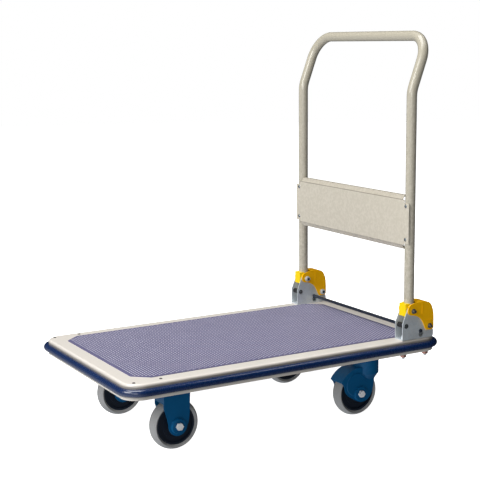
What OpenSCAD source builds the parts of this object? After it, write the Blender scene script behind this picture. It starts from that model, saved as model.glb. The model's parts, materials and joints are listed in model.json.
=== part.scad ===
// Folding platform cart: steel deck on four castors with a fold-down push handle.
// Frame: +X towards the handle end, +Y across, +Z up, origin on the floor under the middle.
// Rest pose: handle upright and locked, swivel castors trailing towards the open end.

/* [Deck] */
// length of the pressed steel pan, without the bumper
pan_len = 720; // [600:1:900]
// width of the pan, without the bumper
pan_wid = 430; // [360:1:600]
// height of the pan's top face above the floor
deck_top = 167; // [150:1:220]
// depth of the pan from its top face to the underside of its rim
pan_depth = 30.5; // [25:0.5:45]
// thickness of the pan's sheet
pan_t = 1.6; // [1:0.1:3]
// corner radius of the pan in plan
pan_corner = 35; // [30:1:60]
// rounding of the pan's top edge
pan_edge = 6; // [2:0.5:8]
// width of the flange turned in under the rim
rim_w = 24; // [16:1:28]
// position along X of the two rivets near each open-end corner
rivet_x = [-341, -286]; // [-345:1:-200]
// position across of those rivets, both sides
rivet_y = 198; // [190:1:202]

/* [Pad and bumper] */
// pad edge at the open end
pad_x0 = -328.4; // [-340:0.1:-300]
// pad edge at the handle end
pad_x1 = 314.5; // [260:0.5:330]
// width of the pad
pad_wid = 364.6; // [300:0.2:380]
// thickness of the pad
pad_t = 1.8; // [1:0.1:4]
// corner cut of the pad, along and across
pad_cut = [31, 27]; // [5:1:60]
// how far the bumper stands out from the pan
bumper_out = 10; // [6:0.5:16]
// height of the bumper band
bumper_h = 15; // [10:0.5:20]
// drop from the deck top to the top of the bumper
bumper_drop = 8.5; // [6:0.5:12]

/* [Frame under the deck] */
// flange width of the two side rails
rail_w = 19.5; // [15:0.5:22]
// half length of the side rails
rail_half = 346; // [300:1:348]
// outer face of the side rails, from the middle
rail_y = 205.5; // [200:0.5:208]
// thickness of rail and channel sheet
rail_t = 2; // [1.5:0.1:3]
// width along X of the two cross channels
channel_w = 104; // [90:1:120]
// underside of the cross channels, where the castors bolt on
mount_z = 140; // [136:0.5:150]
// width of the middle stiffener
stiff_w = 60; // [40:1:100]

/* [Handle hinge] */
// position along X of the handle uprights and pivots
pivot_x = 288.5; // [280:0.5:300]
// height of the pivots above the floor
pivot_z = 227.5; // [215:0.5:240]
// distance of each upright from the middle
upright_y = 201; // [190:0.5:205]
// clear gap between a bracket's two cheeks
cheek_gap = 22; // [21.6:0.1:26]
// thickness of the bracket steel
cheek_t = 2.3; // [2:0.1:3]
// diameter of the pivot and hood bolts
bolt_d = 6; // [5:0.1:8]
// position of the bolts that hold each bracket to the deck
base_bolt_x = [276, 333]; // [270:0.5:340]
// stop pin position, along X and up
stop_xz = [271.9, 197.1]; // [190:0.1:280]
// outer diameter of the plastic sleeve on the stop pin
stop_d = 11; // [8:0.1:12]
// position of the second hood bolt, along X and up
hood_bolt_xz = [331.5, 191.8]; // [185:0.1:335]
// thickness of the moulded hood
hood_t = 3; // [2:0.5:4]

/* [Lock bar] */
// diameter of the foot-operated lock bar
bar_d = 7; // [6:0.1:9]
// lock bar centre when sprung up, along X and up
bar_xz = [309.4, 183.5]; // [180:0.1:312]
// travel of the lock bar along its slots
bar_travel = 8; // [4:0.5:10]
// lean of the slots from upright
slot_lean = 15; // [0:0.1:35]
// overall length of the lock bar
bar_len = 434; // [428:1:446]

/* [Handle] */
// outside diameter of the handle tube
tube_d = 21; // [19:0.1:28]
// wall of the handle tube
tube_t = 1.8; // [1.2:0.1:2.5]
// height where the upper part starts to lean back
lean_z = 680; // [600:1:720]
// lean of the upper part away from the deck, as a sine
lean_sin = 0.352; // [0.1:0.001:0.5]
// length of the leaning part, from the bend to the grip bar's centre line
grip_run = 118; // [90:1:200]
// centre line radius of the two top corners
corner_r = 52; // [35:1:90]
// centre line radius of the lean bends
bend_r = 66; // [40:1:120]
// length of tube and plug below the pivot
tail_len = 40; // [35:0.1:41]
// bottom and top of the cross panel
panel_z = [355.5, 468]; // [340:0.5:480]
// bottom and top of the panel's end tabs
tab_z = [368, 452]; // [360:0.5:460]
// heights of the panel rivets
panel_rivet_z = [376.8, 446]; // [370:0.1:450]
// sheet thickness of the cross panel
panel_t = 1.2; // [0.8:0.1:2]

/* [Castors] */
// radius of the tyres
wheel_r = 50.8; // [50:0.1:65]
// width of the tyres
tyre_w = 30; // [25:0.5:35]
// radius of the wheel centre under the tyre
hub_r = 40.2; // [36:0.1:43]
// crown radius of the tread
crown_r = 19; // [20:1:60]
// half track of the fixed castors
fixed_y = 127; // [120:0.5:150]
// fixed axle position along X
fixed_x = -226; // [-260:0.5:-200]
// half track of the swivel castors
swivel_y = 137; // [120:0.5:150]
// swivel axis position along X
swivel_x = 224; // [200:0.5:250]
// trail of the swivel axles behind their axes
trail = 27; // [18:0.5:35]
// half width inside a fork
fork_in = 18; // [17.4:0.1:24]
// thickness of the fork sheet
fork_t = 2.5; // [2:0.1:3.5]
// diameter of the axle bolts
axle_d = 8; // [6:0.1:10]
// radius of the curved cover of a swivel fork
cover_r = 55; // [54.5:0.5:66]
// radius of the swivel head
head_r = 29; // [26:0.5:34]
// size of a castor's mounting plate, along and across
plate_size = [98, 74]; // [70:1:110]
// spacing of the castor bolts, along and across
bolt_grid = [80, 56]; // [50:1:90]

/* [Hidden] */

SIDES = [-1, 1];
FINE = 64;
MID = 36;
SMALL = 20;
rim_z = deck_top - pan_depth;
pan_under = deck_top - pan_t;
tube_r = tube_d / 2;
bolt_r = bolt_d / 2;
bar_r = bar_d / 2;
axle_r = axle_d / 2;
cheek_in = cheek_gap / 2;
cheek_out = cheek_in + cheek_t;
hood_out = cheek_out + hood_t;
slot_r = bar_r + 0.4;
slot_dir = [sin(slot_lean), -cos(slot_lean)];
slot_end = bar_xz + (bar_travel + 0.4) * slot_dir;
tail_z = pivot_z - tail_len;
plug_t = 2.5;
nose_len = 10.8;
lean_cos = sqrt(1 - lean_sin * lean_sin);
lean_tan = bend_r * (1 - lean_cos) / lean_sin;
bend_z = lean_z - lean_tan;
lean_len = grip_run - lean_tan - corner_r;
lean_x = pivot_x + bend_r * (1 - lean_cos);
lean_start = bend_z + bend_r * lean_sin;
panel_x = pivot_x - tube_r - 0.15;
plate_t = 3;
plate_under = mount_z - plate_t;
fork_out = fork_in + fork_t;
head_top = 124;
head_low = 90;
taper_low = 74;
taper_in = 11;
dish_r = 16;
dish_h = 5.6;
seat_h = 4;
hub_ring = 0.62 * hub_r;
boss_xz = [-9, 20];
boss_r = 25;
boss_h = 1.4;
swivel_axle_x = swivel_x - trail;
fixed_plate_x = fixed_x - 4.5;
pin_r = 5;

// straight and corner runs of a profile round a rounded rectangle;
// the profile's x is measured from the corner centre
module run_round(len, wid, r) {
    for (a = [0, 180])
        rotate([0, 0, a])
            translate([len / 2 - r, 0, 0])
                rotate([90, 0, 0])
                    linear_extrude(wid - 2 * r, center = true)
                        children();
    for (a = [90, 270])
        rotate([0, 0, a])
            translate([wid / 2 - r, 0, 0])
                rotate([90, 0, 0])
                    linear_extrude(len - 2 * r, center = true)
                        children();
    for (i = [0 : 3])
        translate([(i == 0 || i == 3 ? 1 : -1) * (len / 2 - r), (i < 2 ? 1 : -1) * (wid / 2 - r), 0])
            rotate([0, 0, 90 * i])
                rotate_extrude(angle = 90, $fn = FINE)
                    children();
}

// rounded rectangle with exact corners
module round_rect(len, wid, r) {
    square([len - 2 * r, wid], center = true);
    square([len, wid - 2 * r], center = true);
    for (sx = SIDES)
        for (sy = SIDES)
            translate([sx * (len / 2 - r), sy * (wid / 2 - r)])
                circle(r, $fn = MID);
}

// places children lying along Y, centred, at a point of the side view
module across(xz, y = 0) {
    translate([xz[0], y, xz[1]])
        rotate([90, 0, 0])
            children();
}

// side-view shape given thickness across, from y0 to y1
module side_plate(y0, y1) {
    translate([0, y1, 0])
        rotate([90, 0, 0])
            linear_extrude(y1 - y0)
                children();
}

module hex_rod(flats, h) {
    cylinder(h = h, r = flats / sqrt(3), $fn = 6);
}

/* ---------- deck ---------- */

module pan_profile() {
    difference() {
        translate([pan_corner - pan_edge, deck_top - pan_edge])
            circle(pan_edge, $fn = 48);
        translate([pan_corner - pan_edge, deck_top - pan_edge])
            circle(pan_edge - pan_t, $fn = 48);
        translate([pan_corner - 3 * pan_edge, deck_top - 3 * pan_edge])
            square([2 * pan_edge, 4 * pan_edge]);
        translate([pan_corner - 3 * pan_edge, deck_top - 3 * pan_edge])
            square([4 * pan_edge, 2 * pan_edge]);
    }
    translate([pan_corner - pan_t, rim_z])
        square([pan_t, pan_depth - pan_edge]);
    translate([pan_corner - rim_w, rim_z])
        square([rim_w - pan_t / 2, pan_t]);
}

module deck_pan() {
    color([0.90, 0.86, 0.79])
        difference() {
            union() {
                run_round(pan_len, pan_wid, pan_corner)
                    pan_profile();
                translate([0, 0, deck_top - pan_t])
                    linear_extrude(pan_t)
                        round_rect(pan_len - 2 * pan_edge, pan_wid - 2 * pan_edge,
                            pan_corner - pan_edge);
            }
            for (s = SIDES) {
                for (x = rivet_x)
                    translate([x, s * rivet_y, pan_under - 1])
                        cylinder(h = pan_t + 2, r = 2, $fn = SMALL);
                for (x = base_bolt_x)
                    translate([x, s * upright_y, rim_z - 1])
                        cylinder(h = pan_depth + 2, r = bolt_r, $fn = SMALL);
            }
        }
}

module deck_pad() {
    cx = pad_cut[0];
    cy = pad_cut[1];
    h = pad_wid / 2;
    color([0.50, 0.49, 0.64])
        translate([0, 0, deck_top])
            linear_extrude(pad_t)
                polygon([[pad_x0 + cx, -h], [pad_x1 - cx, -h], [pad_x1, cy - h], [pad_x1, h - cy],
                    [pad_x1 - cx, h], [pad_x0 + cx, h], [pad_x0, h - cy], [pad_x0, cy - h]]);
}

module bumper() {
    r = bumper_h / 2;
    color([0.08, 0.15, 0.28])
        run_round(pan_len, pan_wid, pan_corner)
            translate([pan_corner, deck_top - bumper_drop - r]) {
                translate([0, -r])
                    square([bumper_out - r, bumper_h]);
                translate([bumper_out - r, 0])
                    intersection() {
                        circle(r, $fn = MID);
                        translate([0, -r])
                            square([r, 2 * r]);
                    }
            }
}

module deck_rivets() {
    color([0.35, 0.34, 0.33])
        for (s = SIDES)
            for (x = rivet_x)
                translate([x, s * rivet_y, pan_under - rail_t - 1]) {
                    cylinder(h = pan_t + rail_t + 1.5, r = 2, $fn = SMALL);
                    translate([0, 0, pan_t + rail_t + 1])
                        cylinder(h = 1.2, r1 = 3.2, r2 = 2.2, $fn = SMALL);
                }
}

/* ---------- frame under the deck ---------- */

module side_rails() {
    h = pan_under - rim_z - pan_t;
    z0 = rim_z + pan_t;
    color([0.90, 0.86, 0.79])
        intersection() {
            translate([0, 0, rim_z])
                linear_extrude(pan_depth)
                    round_rect(pan_len - 2 * pan_edge - 1, pan_wid - 2 * pan_edge - 1,
                        pan_corner - pan_edge - 0.5);
            union() {
                for (s = SIDES)
                    difference() {
                        union() {
                            for (z = [z0, z0 + h - rail_t])
                                translate([-rail_half, s * (rail_y - rail_w / 2) - rail_w / 2, z])
                                    cube([2 * rail_half, rail_w, rail_t]);
                            translate([-rail_half, s * (rail_y - rail_w + rail_t / 2) - rail_t / 2, z0])
                                cube([2 * rail_half, rail_t, h]);
                        }
                        for (x = rivet_x)
                            translate([x, s * rivet_y, z0 + h - rail_t - 1])
                                cylinder(h = rail_t + 2, r = 2, $fn = SMALL);
                        for (x = base_bolt_x)
                            translate([x, s * upright_y, z0 - 1])
                                cylinder(h = h + 2, r = bolt_r, $fn = SMALL);
                    }
            }
        }
}

module cross_channel(cx, bore) {
    y = rail_y - rail_w - 0.5;
    difference() {
        union() {
            translate([cx - channel_w / 2, -y, mount_z])
                cube([channel_w, 2 * y, rail_t]);
            for (s = SIDES)
                translate([cx + s * (channel_w - rail_t) / 2 - rail_t / 2, -y, mount_z])
                    cube([rail_t, 2 * y, pan_under - mount_z]);
        }
        for (s = SIDES) {
            translate([cx, s * (bore > 0 ? swivel_y : fixed_y), mount_z - 1]) {
                for (dx = SIDES)
                    for (dy = SIDES)
                        translate([dx * bolt_grid[0] / 2, dy * bolt_grid[1] / 2, 0])
                            cylinder(h = rail_t + 2, r = axle_r, $fn = SMALL);
                if (bore > 0)
                    cylinder(h = rail_t + 2, r = bore, $fn = MID);
            }
        }
    }
}

module cross_channels() {
    color([0.90, 0.86, 0.79]) {
        cross_channel(fixed_plate_x, 0);
        cross_channel(swivel_x, 9);
    }
}

module middle_stiffener() {
    x0 = fixed_plate_x + channel_w / 2 + 0.5;
    x1 = swivel_x - channel_w / 2 - 0.5;
    depth = 20;
    color([0.90, 0.86, 0.79])
        translate([x0, 0, pan_under - depth]) {
            translate([0, -stiff_w / 2, 0])
                cube([x1 - x0, stiff_w, rail_t]);
            for (s = SIDES) {
                translate([0, s * (stiff_w - rail_t) / 2 - rail_t / 2, 0])
                    cube([x1 - x0, rail_t, depth]);
                translate([0, s * (stiff_w / 2 + 7) - 8, depth - rail_t])
                    cube([x1 - x0, 16, rail_t]);
            }
        }
}

/* ---------- handle hinge ---------- */

// side view of one bracket cheek
module cheek_outline() {
    polygon([[263.5, deck_top], [263.5, 202], [276, 232], [281, 239.5], [290, 241.8],
        [300, 240.8], [316, 236], [331, 222], [337.3, 210], [337.3, 186], [343.5, 182],
        [343.5, deck_top + 3], [340.5, deck_top]]);
}

module bar_slot() {
    translate(bar_xz)
        circle(slot_r, $fn = MID);
    translate(slot_end)
        circle(slot_r + 2, $fn = MID);
    translate((bar_xz + slot_end) / 2)
        rotate(slot_lean)
            square([2 * slot_r, bar_travel + 0.4], center = true);
}

module hinge_bracket(s) {
    color([0.66, 0.67, 0.68])
        translate([0, s * upright_y, 0])
            difference() {
                union() {
                    for (t = [-cheek_out, cheek_in])
                        side_plate(t, t + cheek_t)
                            difference() {
                                cheek_outline();
                                bar_slot();
                                translate([pivot_x, pivot_z])
                                    circle(bolt_r, $fn = SMALL);
                                translate(hood_bolt_xz)
                                    circle(bolt_r, $fn = SMALL);
                                translate(stop_xz)
                                    circle(4, $fn = SMALL);
                            }
                    translate([263.5, -cheek_in, deck_top])
                        cube([77, cheek_gap, cheek_t]);
                }
                for (x = base_bolt_x)
                    translate([x, 0, deck_top - 1])
                        cylinder(h = cheek_t + 2, r = bolt_r, $fn = SMALL);
            }
}

module hinge_bracket_l() {
    hinge_bracket(-1);
}

module hinge_bracket_r() {
    hinge_bracket(1);
}

module hinge_bolts() {
    color([0.62, 0.62, 0.63])
        for (s = SIDES)
            for (x = base_bolt_x)
                translate([x, s * upright_y, deck_top + cheek_t]) {
                    hex_rod(10, 4);
                    translate([0, 0, -cheek_t - pan_depth - 12])
                        cylinder(h = cheek_t + pan_depth + 12.5, r = bolt_r, $fn = SMALL);
                }
}

module hinge_nuts() {
    color([0.74, 0.58, 0.52])
        for (s = SIDES)
            for (x = base_bolt_x)
                translate([x, s * upright_y, rim_z - 1.6])
                    difference() {
                        union() {
                            cylinder(h = 1.6, r = 8, $fn = MID);
                            translate([0, 0, -6.5])
                                hex_rod(12, 6.6);
                        }
                        translate([0, 0, -8])
                            cylinder(h = 10, r = bolt_r, $fn = SMALL);
                    }
}

module stop_pins() {
    color([0.62, 0.62, 0.63])
        for (s = SIDES)
            across(stop_xz, s * upright_y) {
                cylinder(h = 2 * cheek_out, r = 4, center = true, $fn = SMALL);
                for (t = SIDES)
                    translate([0, 0, t * (cheek_out + 0.6)])
                        cylinder(h = 1.2, r = 5, center = true, $fn = SMALL);
            }
}

module stop_sleeves() {
    color([0.16, 0.16, 0.17])
        for (s = SIDES)
            across(stop_xz, s * upright_y)
                difference() {
                    cylinder(h = cheek_gap - 0.6, r = stop_d / 2, center = true, $fn = MID);
                    cylinder(h = cheek_gap + 2, r = 4, center = true, $fn = SMALL);
                }
}

// hexagon-headed cross bolt, head on the outer side of the cart
module cross_bolt(xz, s) {
    across(xz, s * upright_y)
        rotate([0, s > 0 ? 180 : 0, 0]) {
            cylinder(h = 2 * hood_out + 13, r = bolt_r, center = true, $fn = SMALL);
            translate([0, 0, hood_out])
                hex_rod(8, 3.6);
            translate([0, 0, hood_out])
                cylinder(h = 0.8, r = 5.4, $fn = MID);
        }
}

module cross_nut(xz, s) {
    across(xz, s * upright_y)
        rotate([0, s > 0 ? 180 : 0, 0])
            translate([0, 0, -hood_out - 5.2])
                difference() {
                    union() {
                        hex_rod(10, 5.2);
                        translate([0, 0, 4.2])
                            cylinder(h = 1, r = 6.4, $fn = MID);
                    }
                    translate([0, 0, -1])
                        cylinder(h = 8, r = bolt_r, $fn = SMALL);
                }
}

module pivot_bolts() {
    color([0.70, 0.70, 0.71])
        for (s = SIDES)
            cross_bolt([pivot_x, pivot_z], s);
}

module pivot_nuts() {
    color([0.70, 0.70, 0.71])
        for (s = SIDES)
            cross_nut([pivot_x, pivot_z], s);
}

module hood_bolts() {
    color([0.70, 0.70, 0.71])
        for (s = SIDES)
            cross_bolt(hood_bolt_xz, s);
}

module hood_nuts() {
    color([0.70, 0.70, 0.71])
        for (s = SIDES)
            cross_nut(hood_bolt_xz, s);
}

module hood_spacers() {
    color([0.62, 0.62, 0.63])
        for (s = SIDES)
            across(hood_bolt_xz, s * upright_y)
                difference() {
                    cylinder(h = cheek_gap, r = 5, center = true, $fn = SMALL);
                    cylinder(h = cheek_gap + 2, r = bolt_r, center = true, $fn = SMALL);
                }
}

// side view of the moulded hood
module hood_outline() {
    polygon([[275.2, 226], [275.2, 232.5], [277.4, 238], [282, 241.5], [289, 243.4],
        [298, 244.7], [307, 245.7], [316, 245.7], [323.5, 244.7], [329, 242.7],
        [333.2, 239.4], [336.6, 234], [339.6, 226], [341.5, 217], [342, 206], [342, 187],
        [338, 183.5], [323.5, 183.5], [320.8, 187.4], [316.5, 197], [312.5, 204.2],
        [307, 210.3], [299, 215.2], [290.5, 218.4], [281.5, 219.6], [277, 221.8]]);
}

// everything between the bracket cheeks except the hood's top and rear walls
module hood_room() {
    polygon([[265, 175], [339, 175], [339, 206], [338.5, 217], [336.5, 225], [333.7, 232],
        [331, 236.6], [327.5, 239.6], [322.5, 241.7], [315.7, 242.7], [307.2, 242.7],
        [301.5, 242], [301.5, 255], [265, 255]]);
}

module hood(s) {
    color([0.97, 0.70, 0.04])
        translate([0, s * upright_y, 0])
            difference() {
                side_plate(-hood_out, hood_out)
                    hood_outline();
                side_plate(-cheek_out, cheek_out)
                    hood_room();
                for (p = [[pivot_x, pivot_z], hood_bolt_xz])
                    across(p)
                        cylinder(h = 2 * hood_out + 2, r = bolt_r, center = true, $fn = SMALL);
            }
}

module hood_l() {
    hood(-1);
}

module hood_r() {
    hood(1);
}

/* ---------- lock bar ---------- */

module lock_bar() {
    color([0.25, 0.27, 0.30])
        across(bar_xz)
            cylinder(h = bar_len, r = bar_r, center = true, $fn = MID);
}

module lock_clips() {
    color([0.45, 0.45, 0.46])
        for (s = SIDES)
            for (t = SIDES)
                across(bar_xz, s * upright_y + t * (cheek_in - 0.9))
                    difference() {
                        cylinder(h = 1, r = 6, center = true, $fn = SMALL);
                        cylinder(h = 3, r = bar_r, center = true, $fn = MID);
                    }
}

// torsion springs on the hood spacers, one leg under the bar, one on the bracket floor
module lock_springs() {
    wire = 0.7;
    coil = 6.2;
    turns = 5;
    leg_len = 29.3;
    leg_drop = 16.6;
    color([0.55, 0.56, 0.58])
        for (s = SIDES)
            translate([hood_bolt_xz[0], s * upright_y, hood_bolt_xz[1]]) {
                for (i = [0 : turns - 1])
                    translate([0, -8.5 + 1.38 * i, 0])
                        rotate([90, 0, 0])
                            rotate_extrude($fn = 28)
                                translate([coil, 0])
                                    circle(wire, $fn = 14);
                translate([0, -8.5 + 1.38 * (turns - 1), -coil])
                    rotate([0, -90 - leg_drop, 0])
                        cylinder(h = leg_len, r = wire, $fn = 14);
                translate([coil, -8.5, hood_base() - hood_bolt_xz[1]])
                    cylinder(h = hood_bolt_xz[1] - hood_base(), r = wire, $fn = 14);
            }
}

function hood_base() = deck_top + cheek_t + 0.1;

/* ---------- handle ---------- */

module tube_ring() {
    difference() {
        circle(tube_r, $fn = 32);
        circle(tube_r - tube_t, $fn = 32);
    }
}

// one upright with the holes for its pivot bush and its panel rivets
module upright(y) {
    tube_end = tail_z + plug_t;
    difference() {
        translate([pivot_x, y, tube_end])
            linear_extrude(bend_z - tube_end)
                tube_ring();
        across([pivot_x, pivot_z], y)
            cylinder(h = tube_d + 2, r = 4.5, center = true, $fn = SMALL);
        for (z = panel_rivet_z)
            translate([pivot_x - tube_r - 1, y, z])
                rotate([0, 90, 0])
                    cylinder(h = tube_r, r = 2, $fn = SMALL);
    }
}

// moves children into the frame of the leaning part, its Z along the lean
module leaning() {
    multmatrix([[lean_cos, 0, lean_sin, lean_x], [0, 1, 0, 0], [-lean_sin, 0, lean_cos, lean_start],
        [0, 0, 0, 1]])
        children();
}

module lean_bend(y) {
    difference() {
        translate([pivot_x + bend_r, y, bend_z])
            rotate([90, 0, 0])
                rotate([0, 0, 90])
                    rotate_extrude(angle = 90, $fn = 160)
                        translate([bend_r, 0])
                            tube_ring();
        leaning()
            translate([-100, y - 20, 0])
                cube([200, 40, 160]);
    }
}

module handle_tube() {
    color([0.90, 0.86, 0.79]) {
        for (s = SIDES) {
            upright(s * upright_y);
            lean_bend(s * upright_y);
        }
        leaning() {
            for (s = SIDES) {
                translate([0, s * upright_y, 0])
                    linear_extrude(lean_len)
                        tube_ring();
                translate([0, s * (upright_y - corner_r), lean_len])
                    rotate([90, 0, s > 0 ? 90 : 270])
                        rotate_extrude(angle = 90, $fn = 56)
                            translate([corner_r, 0])
                                tube_ring();
            }
            translate([0, 0, lean_len + corner_r])
                rotate([90, 0, 0])
                    linear_extrude(2 * (upright_y - corner_r), center = true)
                        tube_ring();
        }
    }
}

module tail_plugs() {
    color([0.16, 0.16, 0.17])
        for (s = SIDES)
            translate([pivot_x, s * upright_y, tail_z]) {
                cylinder(h = plug_t, r = tube_r, $fn = 32);
                translate([0, 0, plug_t])
                    cylinder(h = 16, r = tube_r - tube_t, $fn = 32);
                translate([0, -6, 0])
                    cube([nose_len, 12, plug_t]);
            }
}

module pivot_bushes() {
    color([0.78, 0.66, 0.38])
        for (s = SIDES)
            across([pivot_x, pivot_z], s * upright_y)
                difference() {
                    cylinder(h = cheek_gap - 0.4, r = 4.5, center = true, $fn = SMALL);
                    cylinder(h = cheek_gap + 2, r = bolt_r + 0.05, center = true, $fn = SMALL);
                }
}

module finger_guards() {
    color([0.99, 0.83, 0.03])
        for (s = SIDES)
            translate([pivot_x, s * upright_y, 217])
                difference() {
                    translate([-16.5, 0.3 - cheek_in, 0])
                        cube([12, cheek_gap - 0.6, 26]);
                    translate([0, 0, -1])
                        cylinder(h = 28, r = tube_r, $fn = 32);
                }
}

// side view of the panel: flat sheet with folded-back top and bottom edges
module panel_section() {
    z0 = panel_z[0];
    z1 = panel_z[1];
    x = panel_x;
    polygon([[x - panel_t, z0 + 9], [x - panel_t, z1 - 9], [x + 4.5, z1], [x + 12, z1],
        [x + 12, z1 - 5], [x + 10.8, z1 - 5], [x + 10.8, z1 - 1.2], [x + 5, z1 - 1.2],
        [x, z1 - 9.5], [x, z0 + 9.5], [x + 5, z0 + 1.2], [x + 10.8, z0 + 1.2],
        [x + 10.8, z0 + 5], [x + 12, z0 + 5], [x + 12, z0], [x + 4.5, z0]]);
}

module cross_panel() {
    inner = upright_y - tube_r - 0.35;
    sheet_half = upright_y - 4.5;
    color([0.90, 0.86, 0.79])
        difference() {
            union() {
                side_plate(-inner, inner)
                    panel_section();
                translate([panel_x - panel_t, -sheet_half, panel_z[0] + 9])
                    cube([panel_t, 2 * sheet_half, panel_z[1] - panel_z[0] - 18]);
                for (s = SIDES)
                    translate([panel_x - panel_t, s > 0 ? inner : -inner - 21.5, tab_z[0]])
                        cube([panel_t, 21.5, tab_z[1] - tab_z[0]]);
            }
            for (s = SIDES)
                for (z = panel_rivet_z)
                    translate([panel_x - panel_t - 1, s * upright_y, z])
                        rotate([0, 90, 0])
                            cylinder(h = panel_t + 2, r = 2, $fn = SMALL);
        }
}

module panel_rivets() {
    color([0.80, 0.77, 0.71])
        for (s = SIDES)
            for (z = panel_rivet_z)
                translate([panel_x - panel_t - 1.4, s * upright_y, z])
                    rotate([0, 90, 0]) {
                        cylinder(h = 1.4, r1 = 2.6, r2 = 4, $fn = SMALL);
                        translate([0, 0, 1.2])
                            cylinder(h = 6, r = 2, $fn = SMALL);
                    }
}

/* ---------- wheels ---------- */

// the wheel axis lies along Z here, the wheel's middle plane on z = 0
module tyre_body() {
    h = tyre_w / 2;
    color([0.55, 0.55, 0.56])
        rotate_extrude($fn = FINE)
            intersection() {
                translate([wheel_r - crown_r, 0])
                    circle(crown_r, $fn = 56);
                polygon([[hub_r, -10.5], [hub_r + 4.5, -h], [wheel_r + 1, -h],
                    [wheel_r + 1, h], [hub_r + 4.5, h], [hub_r, 10.5]]);
            }
}

module hub_body() {
    color([0.06, 0.10, 0.16])
        rotate_extrude($fn = MID) {
            translate([hub_r - 4, -10.5])
                square([4, 21]);
            translate([11, -6.5])
                square([hub_r - 14, 13]);
            translate([hub_ring, -8])
                square([3, 16]);
            translate([6.5, -16.5])
                square([5.5, 33]);
        }
}

module sleeve_body() {
    color([0.62, 0.62, 0.63])
        difference() {
            cylinder(h = 2 * fork_in - 0.6, r = 6.5, center = true, $fn = MID);
            cylinder(h = 2 * fork_in + 2, r = axle_r + 0.05, center = true, $fn = MID);
        }
}

// dished boss round an axle on the outside of a fork cheek, at the cheek's face
module axle_dish() {
    difference() {
        translate([0, 0, -0.1])
            cylinder(h = dish_h + 0.1, r1 = dish_r, r2 = dish_r - 1.5, $fn = MID);
        translate([0, 0, seat_h])
            cylinder(h = dish_h, r = dish_r - 5, $fn = MID);
        translate([0, 0, -1])
            cylinder(h = dish_h + 2, r = axle_r, $fn = MID);
    }
}

// both dished bosses of a fork whose axle is at the given place
module axle_dishes() {
    for (s = SIDES)
        translate([0, s * fork_out, wheel_r])
            rotate([-s * 90, 0, 0])
                axle_dish();
}

// out = distance from the wheel's middle plane to the seat of the bolt head
module axle_bolt(out) {
    color([0.78, 0.79, 0.80]) {
        translate([0, 0, -out - 8])
            cylinder(h = 2 * out + 8, r = axle_r, $fn = MID);
        translate([0, 0, out])
            hex_rod(13, 5.3);
    }
}

module axle_nut(out) {
    color([0.78, 0.79, 0.80])
        translate([0, 0, -out - 6.5])
            difference() {
                hex_rod(13, 6.5);
                translate([0, 0, -1])
                    cylinder(h = 9, r = axle_r, $fn = MID);
            }
}

// stands a wheel part in the cart; its +Z side faces outwards
module at_axle(x, y) {
    translate([x, y, wheel_r])
        rotate([y > 0 ? -90 : 90, 0, 0])
            children();
}

/* ---------- fixed castors ---------- */

module fixed_cheek() {
    top = plate_under - wheel_r;
    difference() {
        union() {
            polygon([[-29.4, top], [-30, 39], [-25.8, 26.3], [-22.2, 13.7], [-19.2, 0],
                [-17, -9.5], [17, -9.5], [20.2, -2], [22.2, 3], [23.7, 9], [25.2, 21.7],
                [26.2, 41.6], [28.3, top]]);
            circle(20, $fn = MID);
        }
        circle(axle_r, $fn = MID);
    }
}

module fixed_fork(y) {
    color([0.02, 0.27, 0.43])
        translate([fixed_x, y, 0]) {
            difference() {
                translate([fixed_plate_x - fixed_x, 0, plate_under])
                    linear_extrude(plate_t)
                        round_rect(plate_size[0], plate_size[1], 6);
                for (dx = SIDES)
                    for (dy = SIDES)
                        translate([fixed_plate_x - fixed_x + dx * bolt_grid[0] / 2,
                            dy * bolt_grid[1] / 2, plate_under - 1])
                            cylinder(h = plate_t + 2, r = axle_r, $fn = SMALL);
            }
            for (s = SIDES)
                translate([0, 0, wheel_r])
                    side_plate(s > 0 ? fork_in : -fork_out, s > 0 ? fork_out : -fork_in)
                        fixed_cheek();
            axle_dishes();
            for (x = [-29.4, 26 - fork_t])
                translate([x, -fork_in - 0.1, 97])
                    cube([fork_t, 2 * fork_in + 0.2, plate_under - 97]);
        }
}

module fixed_fork_l() {
    fixed_fork(-fixed_y);
}

module fixed_fork_r() {
    fixed_fork(fixed_y);
}

module fixed_axles() {
    for (s = SIDES)
        at_axle(fixed_x, s * fixed_y)
            axle_bolt(fork_out + seat_h);
}

module fixed_axle_nuts() {
    for (s = SIDES)
        at_axle(fixed_x, s * fixed_y)
            axle_nut(fork_out + seat_h);
}

module tyre_fix_l() {
    at_axle(fixed_x, -fixed_y)
        tyre_body();
}

module tyre_fix_r() {
    at_axle(fixed_x, fixed_y)
        tyre_body();
}

module hub_fix_l() {
    at_axle(fixed_x, -fixed_y)
        hub_body();
}

module hub_fix_r() {
    at_axle(fixed_x, fixed_y)
        hub_body();
}

module sleeve_fix_l() {
    at_axle(fixed_x, -fixed_y)
        sleeve_body();
}

module sleeve_fix_r() {
    at_axle(fixed_x, fixed_y)
        sleeve_body();
}

/* ---------- castor fasteners ---------- */

module at_castor_bolts() {
    for (c = [[fixed_plate_x, -fixed_y], [fixed_plate_x, fixed_y], [swivel_x, -swivel_y],
        [swivel_x, swivel_y]])
        for (dx = SIDES)
            for (dy = SIDES)
                translate([c[0] + dx * bolt_grid[0] / 2, c[1] + dy * bolt_grid[1] / 2, 0])
                    children();
}

module castor_bolts() {
    color([0.70, 0.70, 0.71])
        at_castor_bolts()
            translate([0, 0, mount_z + rail_t]) {
                hex_rod(12, 5);
                translate([0, 0, -14])
                    cylinder(h = 14.5, r = axle_r, $fn = SMALL);
            }
}

module castor_nuts() {
    color([0.70, 0.70, 0.71])
        at_castor_bolts()
            translate([0, 0, plate_under - 6])
                difference() {
                    hex_rod(12, 6);
                    translate([0, 0, -1])
                        cylinder(h = 8, r = axle_r, $fn = SMALL);
                }
}

/* ---------- swivel castors ---------- */

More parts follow.
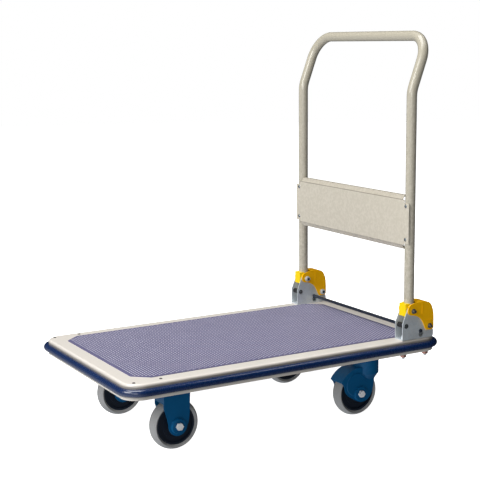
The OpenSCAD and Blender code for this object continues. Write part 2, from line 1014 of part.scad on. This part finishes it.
ball_r = 3;
ball_ring = 20;
ball_z = head_top + 0.4 + ball_r;

module swivel_plate(y) {
    color([0.02, 0.27, 0.43])
        translate([swivel_x, y, 0])
            difference() {
                union() {
                    translate([0, 0, plate_under])
                        linear_extrude(plate_t)
                            round_rect(plate_size[0], plate_size[1], 6);
                    translate([0, 0, ball_z + 0.6])
                        cylinder(h = plate_under - ball_z - 0.5, r = 27, $fn = MID);
                }
                rotate_extrude($fn = MID)
                    translate([ball_ring, ball_z])
                        circle(ball_r + 0.02, $fn = SMALL);
                translate([0, 0, head_top])
                    cylinder(h = mount_z - head_top + 1, r = pin_r, $fn = MID);
                for (dx = SIDES)
                    for (dy = SIDES)
                        translate([dx * bolt_grid[0] / 2, dy * bolt_grid[1] / 2, plate_under - 1])
                            cylinder(h = plate_t + 2, r = axle_r, $fn = SMALL);
            }
}

module swivel_plate_l() {
    swivel_plate(-swivel_y);
}

module swivel_plate_r() {
    swivel_plate(swivel_y);
}

module swivel_balls(y) {
    count = 8;
    color([0.75, 0.76, 0.77])
        translate([swivel_x, y, ball_z])
            for (i = [0 : count - 1])
                rotate([0, 0, i * 360 / count])
                    translate([ball_ring, 0, 0])
                        sphere(ball_r, $fn = 14);
}

module swivel_balls_l() {
    swivel_balls(-swivel_y);
}

module swivel_balls_r() {
    swivel_balls(swivel_y);
}

module king_pin(y) {
    color([0.70, 0.70, 0.71])
        translate([swivel_x, y, 0]) {
            translate([0, 0, 114])
                cylinder(h = mount_z - 114, r = pin_r, $fn = MID);
            translate([0, 0, 114])
                hex_rod(16, 6.5);
            translate([0, 0, mount_z])
                cylinder(h = 3, r1 = 7.5, r2 = 5, $fn = MID);
        }
}

module king_pin_l() {
    king_pin(-swivel_y);
}

module king_pin_r() {
    king_pin(swivel_y);
}

// side view of a swivel fork's cheek, from its axle
module swivel_cheek() {
    difference() {
        intersection() {
            circle(cover_r, $fn = 90);
            polygon([[-47.6, 28.6], [-44.5, 25.8], [-40.6, 21.2], [-38.4, 16], [-37.2, 7.5],
                [-30, -2], [-18, -10], [-6, -16.8], [3, -19.5], [12, -19], [20, -15.5],
                [26, -9.8], [30.5, -1.5], [33.4, 7], [35.2, 18.7], [36.6, 27], [40.5, 35],
                [47, 43], [25, 75], [-60, 75], [-70, 45]]);
        }
        circle(axle_r, $fn = MID);
    }
}

module swivel_fork(y) {
    color([0.02, 0.27, 0.43])
        translate([swivel_axle_x, y, 0]) {
            difference() {
                union() {
                    translate([0, 0, wheel_r])
                        side_plate(-fork_out, fork_out)
                            swivel_cheek();
                    translate([trail, 0, head_low])
                        cylinder(h = head_top - head_low, r = head_r, $fn = FINE);
                    translate([trail, 0, taper_low])
                        cylinder(h = head_low - taper_low, r1 = head_r - taper_in, r2 = head_r,
                            $fn = FINE);
                    for (s = SIDES)
                        translate([boss_xz[0], s * fork_out, wheel_r + boss_xz[1]])
                            rotate([-s * 90, 0, 0])
                                translate([0, 0, -0.2])
                                    cylinder(h = boss_h + 0.2, r1 = boss_r, r2 = boss_r - 1,
                                        $fn = FINE);
                }
                translate([0, 0, wheel_r])
                    side_plate(-fork_in, fork_in)
                        circle(cover_r - fork_t, $fn = 90);
                translate([trail, 0, head_low])
                    cylinder(h = head_top - 3 - head_low, r = head_r - fork_t, $fn = FINE);
                translate([trail, 0, taper_low])
                    cylinder(h = head_low - taper_low, r1 = head_r - taper_in - fork_t,
                        r2 = head_r - fork_t, $fn = FINE);
                for (s = SIDES)
                    translate([0, s * fork_out, wheel_r])
                        rotate([-s * 90, 0, 0]) {
                            cylinder(h = 2 * boss_h, r = dish_r - 4, $fn = MID);
                            translate([0, 0, -fork_t])
                                cylinder(h = fork_t + 1, r = axle_r, $fn = MID);
                        }
                translate([trail, 0, head_top - 5])
                    cylinder(h = 8, r = pin_r + 0.05, $fn = MID);
            }
            axle_dishes();
        }
}

module swivel_fork_l() {
    swivel_fork(-swivel_y);
}

module swivel_fork_r() {
    swivel_fork(swivel_y);
}

module axle_swv_l() {
    at_axle(swivel_axle_x, -swivel_y)
        axle_bolt(fork_out + seat_h);
}

module axle_swv_r() {
    at_axle(swivel_axle_x, swivel_y)
        axle_bolt(fork_out + seat_h);
}

module axle_nut_swv_l() {
    at_axle(swivel_axle_x, -swivel_y)
        axle_nut(fork_out + seat_h);
}

module axle_nut_swv_r() {
    at_axle(swivel_axle_x, swivel_y)
        axle_nut(fork_out + seat_h);
}

module tyre_swv_l() {
    at_axle(swivel_axle_x, -swivel_y)
        tyre_body();
}

module tyre_swv_r() {
    at_axle(swivel_axle_x, swivel_y)
        tyre_body();
}

module hub_swv_l() {
    at_axle(swivel_axle_x, -swivel_y)
        hub_body();
}

module hub_swv_r() {
    at_axle(swivel_axle_x, swivel_y)
        hub_body();
}

module sleeve_swv_l() {
    at_axle(swivel_axle_x, -swivel_y)
        sleeve_body();
}

module sleeve_swv_r() {
    at_axle(swivel_axle_x, swivel_y)
        sleeve_body();
}

deck_pan();
deck_pad();
bumper();
deck_rivets();
side_rails();
cross_channels();
middle_stiffener();
hinge_bracket_l();
hinge_bracket_r();
hinge_bolts();
hinge_nuts();
stop_pins();
stop_sleeves();
pivot_bolts();
pivot_nuts();
hood_bolts();
hood_nuts();
hood_spacers();
hood_l();
hood_r();
lock_bar();
lock_clips();
lock_springs();
handle_tube();
tail_plugs();
pivot_bushes();
finger_guards();
cross_panel();
panel_rivets();
fixed_fork_l();
fixed_fork_r();
fixed_axles();
fixed_axle_nuts();
tyre_fix_l();
tyre_fix_r();
hub_fix_l();
hub_fix_r();
sleeve_fix_l();
sleeve_fix_r();
castor_bolts();
castor_nuts();
swivel_plate_l();
swivel_plate_r();
swivel_balls_l();
swivel_balls_r();
king_pin_l();
king_pin_r();
swivel_fork_l();
swivel_fork_r();
axle_swv_l();
axle_swv_r();
axle_nut_swv_l();
axle_nut_swv_r();
tyre_swv_l();
tyre_swv_r();
hub_swv_l();
hub_swv_r();
sleeve_swv_l();
sleeve_swv_r();
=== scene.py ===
import json
import math

import bmesh
import bpy
from mathutils import Matrix, Vector


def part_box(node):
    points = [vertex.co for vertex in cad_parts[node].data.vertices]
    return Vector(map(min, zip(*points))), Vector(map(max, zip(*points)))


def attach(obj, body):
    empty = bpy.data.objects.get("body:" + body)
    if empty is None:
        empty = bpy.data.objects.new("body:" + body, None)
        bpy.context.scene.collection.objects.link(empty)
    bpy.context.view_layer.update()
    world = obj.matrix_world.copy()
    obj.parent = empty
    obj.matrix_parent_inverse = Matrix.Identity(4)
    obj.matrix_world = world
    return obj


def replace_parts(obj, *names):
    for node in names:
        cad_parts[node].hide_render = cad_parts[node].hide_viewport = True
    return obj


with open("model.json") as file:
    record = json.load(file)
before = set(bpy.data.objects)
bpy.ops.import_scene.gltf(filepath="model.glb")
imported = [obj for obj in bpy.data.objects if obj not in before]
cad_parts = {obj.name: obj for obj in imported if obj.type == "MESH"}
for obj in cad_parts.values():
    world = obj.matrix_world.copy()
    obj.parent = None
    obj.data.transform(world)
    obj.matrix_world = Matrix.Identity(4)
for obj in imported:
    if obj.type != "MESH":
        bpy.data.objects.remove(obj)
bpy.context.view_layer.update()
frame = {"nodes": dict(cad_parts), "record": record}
NODES = frame["nodes"]
MM = 0.001
BUMP_DEPTH = 0.4 * MM
NOISE_ROUGHNESS = 0.55


# ---------------------------------------------------------------- materials

def srgb(r, g, b):
    """An sRGB colour, 0 to 1, as the linear colour a shader takes."""
    def lin(c):
        return c / 12.92 if c <= 0.04045 else ((c + 0.055) / 1.055) ** 2.4
    return (lin(r), lin(g), lin(b), 1.0)


def scaled(colour, k):
    """A colour made k times as bright."""
    return tuple(min(1.0, c * k) for c in colour[:3]) + (1.0,)


def node(tree, kind, **inputs):
    """A new shader node with its sockets set by name."""
    n = tree.nodes.new(kind)
    for key, value in inputs.items():
        n.inputs[key.replace("_", " ")].default_value = value
    return n


def noise(tree, coords, scale, detail=3.0, stretch=None):
    """A noise value from 0 to 1, stretched along an axis where asked."""
    n = node(tree, "ShaderNodeTexNoise", Scale=scale, Detail=detail, Roughness=NOISE_ROUGHNESS)
    if stretch:
        m = tree.nodes.new("ShaderNodeMapping")
        m.inputs["Scale"].default_value = stretch
        tree.links.new(coords, m.inputs["Vector"])
        coords = m.outputs["Vector"]
    tree.links.new(coords, n.inputs["Vector"])
    return n.outputs["Fac"]


def ramp(tree, fac, low, high, a, b):
    """Maps fac from low..high to a..b."""
    n = tree.nodes.new("ShaderNodeMapRange")
    n.inputs["From Min"].default_value = low
    n.inputs["From Max"].default_value = high
    n.inputs["To Min"].default_value = a
    n.inputs["To Max"].default_value = b
    tree.links.new(fac, n.inputs["Value"])
    return n.outputs["Result"]


def mix(tree, fac, a, b):
    """Mixes two colours, each a constant or a socket."""
    n = tree.nodes.new("ShaderNodeMix")
    n.data_type = "RGBA"
    for socket, value in ((n.inputs[6], a), (n.inputs[7], b)):
        if isinstance(value, tuple):
            socket.default_value = value
        else:
            tree.links.new(value, socket)
    tree.links.new(fac, n.inputs[0])
    return n.outputs[2]


def band(tree, coords, axis, centre, half, soft):
    """1 within half of a plane across an axis, falling to 0 over soft."""
    part = tree.nodes.new("ShaderNodeSeparateXYZ")
    tree.links.new(coords, part.inputs[0])
    away = tree.nodes.new("ShaderNodeMath")
    away.operation = "SUBTRACT"
    away.inputs[1].default_value = centre
    tree.links.new(part.outputs[axis], away.inputs[0])
    size = tree.nodes.new("ShaderNodeMath")
    size.operation = "ABSOLUTE"
    tree.links.new(away.outputs[0], size.inputs[0])
    return ramp(tree, size.outputs[0], half, half + soft, 1.0, 0.0)


def finish_material(name, colour, rough, spread=0.08, metallic=0.0, mottle=0.06, mottle_scale=35.0,
                    grain=420.0, bump=0.05, wear=None, wear_colour=None,
                    stretch=None, dust=0.0, coat=0.0, coat_rough=0.1, specular=0.5, sheen=0.0,
                    painted_shade_bands=(), painted_shade_colour=None):
    """A paint, metal or plastic: cloudy colour, fine grain, uneven gloss, dust that settles on
    faces that look up, wear on sharp edges, and bands of painted shade across an axis."""
    m = bpy.data.materials.new(name)
    m.use_nodes = True
    t = m.node_tree
    bsdf = t.nodes["Principled BSDF"]
    bsdf.inputs["Metallic"].default_value = metallic
    bsdf.inputs["Coat Weight"].default_value = coat
    bsdf.inputs["Coat Roughness"].default_value = coat_rough
    bsdf.inputs["Specular IOR Level"].default_value = specular
    bsdf.inputs["Sheen Weight"].default_value = sheen
    coords = t.nodes.new("ShaderNodeTexCoord").outputs["Object"]
    cloud = noise(t, coords, mottle_scale, detail=4.0)
    fine = noise(t, coords, grain, detail=2.0, stretch=stretch)
    base = mix(t, ramp(t, cloud, 0.3, 0.7, 0.0, 1.0), scaled(colour, 1 - mottle), scaled(colour, 1 + mottle))
    if wear:
        edge = t.nodes.new("ShaderNodeNewGeometry").outputs["Pointiness"]
        broken = t.nodes.new("ShaderNodeMath")
        broken.operation = "MULTIPLY"
        t.links.new(ramp(t, edge, 0.53, 0.60, 0.0, wear), broken.inputs[0])
        t.links.new(ramp(t, noise(t, coords, 160.0), 0.42, 0.62, 0.0, 1.0), broken.inputs[1])
        base = mix(t, broken.outputs[0], base, wear_colour or scaled(colour, 1.5))
    if dust:
        up = t.nodes.new("ShaderNodeSeparateXYZ")
        t.links.new(t.nodes.new("ShaderNodeNewGeometry").outputs["Normal"], up.inputs[0])
        lying = t.nodes.new("ShaderNodeMath")
        lying.operation = "MULTIPLY"
        t.links.new(ramp(t, up.outputs["Z"], 0.5, 1.0, 0.0, dust), lying.inputs[0])
        t.links.new(ramp(t, noise(t, coords, 18.0), 0.4, 0.75, 0.0, 1.0), lying.inputs[1])
        base = mix(t, lying.outputs[0], base, srgb(0.80, 0.78, 0.74))
    # painted shade: each band mixes the colour towards a dark shade colour across an axis
    for axis, centre, half, soft, strength in painted_shade_bands:
        share = t.nodes.new("ShaderNodeMath")
        share.operation = "MULTIPLY"
        share.inputs[1].default_value = strength
        t.links.new(band(t, coords, axis, centre, half, soft), share.inputs[0])
        base = mix(t, share.outputs[0], base, painted_shade_colour)
    t.links.new(base, bsdf.inputs["Base Color"])
    gloss = ramp(t, fine, 0.25, 0.75, max(0.03, rough - spread), rough + spread)
    t.links.new(gloss, bsdf.inputs["Roughness"])
    b = node(t, "ShaderNodeBump", Strength=bump, Distance=BUMP_DEPTH)
    t.links.new(fine, b.inputs["Height"])
    t.links.new(b.outputs["Normal"], bsdf.inputs["Normal"])
    return m


CREAM = srgb(0.815, 0.785, 0.715)
BLUE = srgb(0.005, 0.330, 0.520)
MATS = {
    "cream_paint": finish_material("cream_paint", CREAM, 0.33, 0.06, mottle=0.015, grain=900.0, bump=0.035,
                                   dust=0.05, coat=0.25, coat_rough=0.12, wear=0.25,
                                   wear_colour=srgb(0.93, 0.90, 0.85)),
    "pad_vinyl": finish_material("pad_vinyl", srgb(0.385, 0.375, 0.50), 0.60, 0.08, mottle=0.03,
                                 mottle_scale=14.0, grain=1500.0, bump=0.12, specular=0.3),
    "pad_stud": finish_material("pad_stud", srgb(0.70, 0.69, 0.74), 0.48, 0.08, mottle=0.08,
                                mottle_scale=22.0, grain=1500.0, bump=0.12),
    "navy_vinyl": finish_material("navy_vinyl", srgb(0.038, 0.145, 0.315), 0.26, 0.05, mottle=0.08,
                                  mottle_scale=20.0, grain=700.0, bump=0.04, coat=0.6, coat_rough=0.16,
                                  wear=0.3, wear_colour=srgb(0.25, 0.32, 0.46)),
    "dark_rivet": finish_material("dark_rivet", srgb(0.30, 0.29, 0.28), 0.40, metallic=0.6, wear=0.5,
                                  wear_colour=srgb(0.55, 0.54, 0.52)),
    "zinc_steel": finish_material("zinc_steel", srgb(0.80, 0.83, 0.85), 0.34, 0.12, metallic=0.3,
                                  mottle=0.10, mottle_scale=60.0, grain=500.0, bump=0.10,
                                  stretch=(1.0, 1.0, 5.0), wear=0.4, wear_colour=srgb(0.85, 0.86, 0.86)),
    "yellow_zinc": finish_material("yellow_zinc", srgb(0.80, 0.60, 0.54), 0.30, metallic=0.8, mottle=0.12,
                                   mottle_scale=90.0),
    "black_nylon": finish_material("black_nylon", srgb(0.11, 0.11, 0.12), 0.50, mottle=0.10, bump=0.08),
    "yellow_plastic": finish_material("yellow_plastic", srgb(1.0, 0.735, 0.008), 0.42, 0.08, mottle=0.02,
                                      grain=1100.0, bump=0.06, specular=0.25),
    "lock_steel": finish_material("lock_steel", srgb(0.26, 0.29, 0.34), 0.32, 0.10, metallic=0.7,
                                  mottle=0.12, grain=500.0, stretch=(1.0, 0.2, 1.0), bump=0.08),
    "bronze": finish_material("bronze", srgb(0.66, 0.50, 0.26), 0.36, metallic=0.9, mottle=0.10),
    "blue_paint": finish_material("blue_paint", BLUE, 0.38, 0.07, mottle=0.05, grain=650.0, bump=0.06,
                                  specular=0.25, wear=0.35, wear_colour=srgb(0.10, 0.42, 0.62)),
    "grey_tyre": finish_material("grey_tyre", srgb(0.60, 0.60, 0.60), 0.66, 0.08, mottle=0.05,
                                 mottle_scale=45.0, grain=1300.0, bump=0.15, sheen=0.05),
    "hub_nylon": finish_material("hub_nylon", srgb(0.035, 0.085, 0.150), 0.45, 0.08, mottle=0.10,
                                 grain=800.0, bump=0.08, wear=0.3, wear_colour=srgb(0.12, 0.18, 0.26)),
    "bright_steel": finish_material("bright_steel", srgb(0.98, 0.99, 1.0), 0.30, 0.10, metallic=0.1,
                                    mottle=0.06, grain=600.0, bump=0.06),
}

# painted sheet and tube: one cream paint as a darker, shaded copy on the tube and panel and a lighter, lit
# copy on the deck, with painted shade in bands where pieces meet and along the panel's folds
PAINT = {"mottle": 0.008, "grain": 900.0, "bump": 0.012, "dust": 0.03, "coat": 0.25, "coat_rough": 0.12,
         "wear": 0.25, "wear_colour": srgb(0.93, 0.90, 0.85)}
UP = 2
FOLD = 9 * MM
bumper_lo, bumper_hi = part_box("bumper")
panel_lo, panel_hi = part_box("cross_panel")
# painted shade on the pan's side: dark in a band just above the bumper, fainter in a band just below it
deck_shade_bands = [(UP, bumper_hi.z, 2.5 * MM, 5.5 * MM, 0.70), (UP, bumper_lo.z, 1 * MM, 5 * MM, 0.35)]
# painted shade on the panel: thin dark lines in the creases of the top and bottom folds, and a wide faint
# band that darkens the lit top fold
panel_shade_bands = [(UP, panel_hi.z - FOLD, 0.45 * MM, 0.5 * MM, 0.75),
               (UP, panel_lo.z + FOLD, 0.45 * MM, 0.5 * MM, 0.45),
               (UP, panel_hi.z - 3.5 * MM, 4.2 * MM, 0.6 * MM, 0.22)]
# painted shade: the tube a darker copy of the cream paint
MATS["tube_paint_shaded"] = finish_material("tube_paint_shaded", srgb(0.705, 0.680, 0.612), 0.27, 0.06, **PAINT)
# painted light: the deck a lighter copy of the cream paint, with bands of painted shade
MATS["deck_paint_lit"] = finish_material("deck_paint_lit", srgb(0.895, 0.870, 0.835), 0.33, 0.06, painted_shade_bands=deck_shade_bands,
                                     painted_shade_colour=srgb(0.26, 0.23, 0.20), **PAINT)
# painted shade: the panel a darker copy of the cream paint, with bands of painted shade
MATS["panel_paint_shaded"] = finish_material("panel_paint_shaded", scaled(CREAM, 0.90), 0.33, 0.06, painted_shade_bands=panel_shade_bands,
                                      painted_shade_colour=srgb(0.38, 0.35, 0.31), **PAINT)
# painted light: the finger guards a lighter, lit copy of the hoods' yellow plastic
MATS["guard_yellow_lit"] = finish_material("guard_yellow_lit", srgb(1.0, 0.85, 0.012), 0.42, 0.08, mottle=0.02,
                                       grain=1100.0, bump=0.06, specular=0.25)
MATS["dull_steel"] = finish_material("dull_steel", srgb(0.52, 0.54, 0.55), 0.24, 0.10, metallic=0.85,
                                     mottle=0.12, mottle_scale=90.0, grain=700.0, bump=0.08)
# pieces whose finish differs from that of their material slot: dull steel as their own darker finish, and
# lit and shaded copies of the cream paint and of the yellow as painted light
OWN = {"handle_tube": "tube_paint_shaded", "deck_pan": "deck_paint_lit", "cross_panel": "panel_paint_shaded",
       "finger_guards": "guard_yellow_lit", "pivot_bolts": "dull_steel", "hood_bolts": "dull_steel",
       "stop_pins": "dull_steel", "panel_rivets": "dull_steel"}

for part in frame["record"]["subparts"]:
    obj = NODES[part["node"]]
    obj.data.materials.clear()
    obj.data.materials.append(MATS[OWN.get(part["node"], part["material_slot"])])


# ---------------------------------------------------------------- pieces

def piece(name, bm, material, body):
    """Makes a mesh object from bm that moves with a CAD body."""
    mesh = bpy.data.meshes.new(name)
    bmesh.ops.recalc_face_normals(bm, faces=bm.faces)
    bm.to_mesh(mesh)
    bm.free()
    obj = bpy.data.objects.new(name, mesh)
    bpy.context.scene.collection.objects.link(obj)
    mesh.materials.append(MATS[material])
    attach(obj, body)
    return obj


def prism(bm, ring, low, high, axis=2):
    """A closed ring of (a, b) points pulled along an axis from low to high."""
    def at(p, t):
        v = [p[0], p[1]]
        v.insert(axis, t)
        return bm.verts.new(v)
    bottom = [at(p, low) for p in ring]
    top = [at(p, high) for p in ring]
    bm.faces.new(bottom)
    bm.faces.new(top)
    for i in range(len(ring)):
        j = (i + 1) % len(ring)
        bm.faces.new((bottom[i], bottom[j], top[j], top[i]))


# the pad: a thin sheet with cut corners, covered in small raised studs
STUD_X, STUD_Y, STUD_R, STUD_H = 12.02 * MM, 7.81 * MM, 1.95 * MM, 0.5 * MM
STUD_SIDES = 8
STUD_TOP = 0.66
STUD_SUNK = 0.1 * MM
STUD_MARGIN = 3 * MM
CUT_X, CUT_Y = 31.0 * MM, 27.0 * MM


def stud(bm, x, y, low, high):
    """A low octagonal frustum."""
    foot, head = [], []
    for k in range(STUD_SIDES):
        turn = 2 * math.pi * k / STUD_SIDES
        c, q = math.cos(turn), math.sin(turn)
        foot.append(bm.verts.new((x + STUD_R * c, y + STUD_R * q, low)))
        head.append(bm.verts.new((x + STUD_TOP * STUD_R * c, y + STUD_TOP * STUD_R * q, high)))
    bm.faces.new(head)
    for k in range(STUD_SIDES):
        after = (k + 1) % STUD_SIDES
        bm.faces.new((foot[k], foot[after], head[after], head[k]))


def pad():
    lo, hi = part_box("deck_pad")
    sheet = hi.z - STUD_H
    ring = [(lo.x + CUT_X, lo.y), (hi.x - CUT_X, lo.y), (hi.x, lo.y + CUT_Y), (hi.x, hi.y - CUT_Y),
            (hi.x - CUT_X, hi.y), (lo.x + CUT_X, hi.y), (lo.x, hi.y - CUT_Y), (lo.x, lo.y + CUT_Y)]
    bm = bmesh.new()
    prism(bm, ring, lo.z, sheet)
    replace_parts(piece("pad_sheet", bm, "pad_vinyl", "chassis"), "deck_pad")

    bm = bmesh.new()
    mid = (lo + hi) / 2
    span_x = (hi.x - lo.x) / 2 - STUD_MARGIN
    span_y = (hi.y - lo.y) / 2 - STUD_MARGIN
    columns = int(span_x / (STUD_X / 2))
    rows = int(span_y / STUD_Y)
    for i in range(-columns, columns + 1):
        x = i * STUD_X / 2
        shift = (i % 2) * STUD_Y / 2
        for j in range(-rows - 1, rows + 2):
            y = j * STUD_Y + shift
            cut = max(0.0, abs(x) - (span_x - CUT_X)) / CUT_X + max(0.0, abs(y) - (span_y - CUT_Y)) / CUT_Y
            if abs(y) <= span_y and cut <= 1.0:
                stud(bm, mid.x + x, mid.y + y, sheet - STUD_SUNK, hi.z)
    piece("pad_studs", bm, "pad_stud", "chassis")


# the hoods: a raised rim round each cheek and two low ribs, as moulded
RIM_W, RIM_H = 1.7 * MM, 0.8 * MM
RIB_H, RIB_SUNK = 0.5 * MM, 0.2 * MM
SOFT_EDGE = 0.3 * MM
# each rib as shares of the hood's length and height: from and to in X, from and to in Z
RIBS = ((0.53, 0.56, 0.55, 0.93), (0.70, 0.96, 0.33, 0.36))


def outline(node_name, outward):
    """The outer edge of a node's flat side that faces +Y or -Y, as a closed loop of points,
    and the side's own Y."""
    mesh = NODES[node_name].data
    ys = [v.co.y for v in mesh.vertices]
    plane = max(ys) if outward > 0 else min(ys)
    flat = [p for p in mesh.polygons if all(abs(mesh.vertices[i].co.y - plane) < 1e-5 for i in p.vertices)]
    count = {}
    for p in flat:
        for e in p.edge_keys:
            count[e] = count.get(e, 0) + 1
    near = {}
    for (i, j), n in count.items():
        if n == 1:
            near.setdefault(i, []).append(j)
            near.setdefault(j, []).append(i)
    loops, seen = [], set()
    for start in near:
        if start in seen:
            continue
        loop, i = [start], start
        seen.add(start)
        while True:
            ahead = [j for j in near[i] if j not in seen]
            if not ahead:
                break
            i = ahead[0]
            seen.add(i)
            loop.append(i)
        loops.append(loop)

    def width(loop):
        xs = [mesh.vertices[i].co.x for i in loop]
        return max(xs) - min(xs)
    return [mesh.vertices[i].co.copy() for i in max(loops, key=width)], plane


def hood_rims(side):
    name = "hood_" + side
    lo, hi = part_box(name)
    bm = bmesh.new()
    for outward in (-1, 1):
        loop, plane = outline(name, outward)
        face = bm.faces.new([bm.verts.new(p) for p in loop])
        bmesh.ops.inset_region(bm, faces=[face], thickness=RIM_W, use_even_offset=True)
        rim = [f for f in bm.faces if f != face and all(abs(v.co.y - plane) < 1e-6 for v in f.verts)]
        bm.faces.remove(face)
        out = bmesh.ops.extrude_face_region(bm, geom=rim)
        for v in (g for g in out["geom"] if isinstance(g, bmesh.types.BMVert)):
            v.co.y += outward * RIM_H
        w, h = hi.x - lo.x, hi.z - lo.z
        for x0, x1, z0, z1 in RIBS:
            corners = [(lo.x + x0 * w, lo.z + z0 * h), (lo.x + x1 * w, lo.z + z0 * h),
                       (lo.x + x1 * w, lo.z + z1 * h), (lo.x + x0 * w, lo.z + z1 * h)]
            prism(bm, corners, plane - outward * RIB_SUNK, plane + outward * RIB_H, axis=1)
    obj = piece("hood_rim_" + side, bm, "yellow_plastic", "chassis")
    soft = obj.modifiers.new("soft", "BEVEL")
    soft.width = SOFT_EDGE
    soft.segments = 2
    soft.limit_method = "ANGLE"


pad()
for side in "lr":
    hood_rims(side)


# ---------------------------------------------------------------- camera, light, floor

YAW, PITCH, ROLL = 29.8807, 9.6119, -0.5466
LENS, SENSOR = 88.363, 36.0
VIEWPOINT = (-1.2084, -2.1035, 0.7842)


def camera():
    yaw, pitch, roll = (math.radians(a) for a in (YAW, PITCH, ROLL))
    ahead = Vector((math.sin(yaw) * math.cos(pitch), math.cos(yaw) * math.cos(pitch), -math.sin(pitch)))
    right = Vector((math.cos(yaw), -math.sin(yaw), 0.0))
    up = right.cross(ahead)
    x = right * math.cos(roll) + up * math.sin(roll)
    y = up * math.cos(roll) - right * math.sin(roll)
    data = bpy.data.cameras.new("view")
    data.sensor_width = SENSOR
    data.lens = LENS
    data.clip_end = 60.0
    obj = bpy.data.objects.new("view", data)
    bpy.context.scene.collection.objects.link(obj)
    m = Matrix((x, y, -ahead)).transposed().to_4x4()
    m.translation = Vector(VIEWPOINT)
    obj.matrix_world = m
    bpy.context.scene.camera = obj


def lamp(name, at, towards, size, watts):
    data = bpy.data.lights.new(name, "AREA")
    data.shape = "RECTANGLE"
    data.size, data.size_y = size
    data.energy = watts
    obj = bpy.data.objects.new(name, data)
    bpy.context.scene.collection.objects.link(obj)
    obj.location = at
    obj.rotation_euler = (Vector(towards) - Vector(at)).to_track_quat("-Z", "Y").to_euler()


WHITE = (1.0, 1.0, 1.0, 1.0)
COOL = (0.93, 0.96, 1.0, 1.0)
FLOOR_GLOW, ROOM_GLOW = 0.62, 0.06
LEFT_GLOW, RIGHT_GLOW = 2.6, 0.2
FLOOR_R = 9.0


def sky():
    """White to the camera. The cart is lit from it as from a white sweep: most from below and
    from the left, little from above and from the right."""
    world = bpy.data.worlds.new("studio")
    bpy.context.scene.world = world
    world.use_nodes = True
    t = world.node_tree
    t.nodes.clear()
    out = t.nodes.new("ShaderNodeOutputWorld")
    seen = node(t, "ShaderNodeBackground", Color=WHITE, Strength=1.0)
    glow = node(t, "ShaderNodeBackground", Color=COOL)
    part = t.nodes.new("ShaderNodeSeparateXYZ")
    t.links.new(t.nodes.new("ShaderNodeTexCoord").outputs["Generated"], part.inputs[0])
    both = t.nodes.new("ShaderNodeMath")
    both.operation = "MULTIPLY"
    t.links.new(ramp(t, part.outputs["Z"], -0.9, 0.15, FLOOR_GLOW, ROOM_GLOW), both.inputs[0])
    t.links.new(ramp(t, part.outputs["X"], -0.95, 0.45, LEFT_GLOW, RIGHT_GLOW), both.inputs[1])
    t.links.new(both.outputs[0], glow.inputs["Strength"])
    pick = t.nodes.new("ShaderNodeMixShader")
    t.links.new(t.nodes.new("ShaderNodeLightPath").outputs["Is Camera Ray"], pick.inputs[0])
    t.links.new(glow.outputs[0], pick.inputs[1])
    t.links.new(seen.outputs[0], pick.inputs[2])
    t.links.new(pick.outputs[0], out.inputs["Surface"])


def lamps():
    deck = (0.0, 0.0, 0.2)
    panel = (0.1, 0.0, 0.4)
    lamp("top", (-0.6, 0.3, 4.6), deck, (3.0, 3.0), 172.0)
    lamp("key", (-2.6, -0.5, 1.9), panel, (1.6, 1.6), 66.0)
    lamp("front", (-2.3, -2.7, 1.0), deck, (1.6, 0.8), 26.0)
    lamp("strip", (1.55, -0.5, 2.9), deck, (1.8, 0.16), 6.0)


def floor():
    """A white disc under the wheels, which the camera sees and the light passes through."""
    bm = bmesh.new()
    bmesh.ops.create_circle(bm, cap_ends=True, segments=96, radius=FLOOR_R)
    mesh = bpy.data.meshes.new("floor")
    bm.to_mesh(mesh)
    bm.free()
    disc = bpy.data.objects.new("floor", mesh)
    bpy.context.scene.collection.objects.link(disc)
    m = bpy.data.materials.new("floor")
    m.use_nodes = True
    bsdf = m.node_tree.nodes["Principled BSDF"]
    bsdf.inputs["Base Color"].default_value = (0.9, 0.9, 0.9, 1.0)
    bsdf.inputs["Roughness"].default_value = 0.9
    bsdf.inputs["Specular IOR Level"].default_value = 0.1
    bsdf.inputs["Emission Color"].default_value = WHITE
    bsdf.inputs["Emission Strength"].default_value = 1.0
    mesh.materials.append(m)
    disc.visible_diffuse = False
    disc.visible_glossy = False
    disc.visible_shadow = False


camera()
sky()
lamps()
floor()
bpy.context.scene.view_settings.view_transform = "Standard"
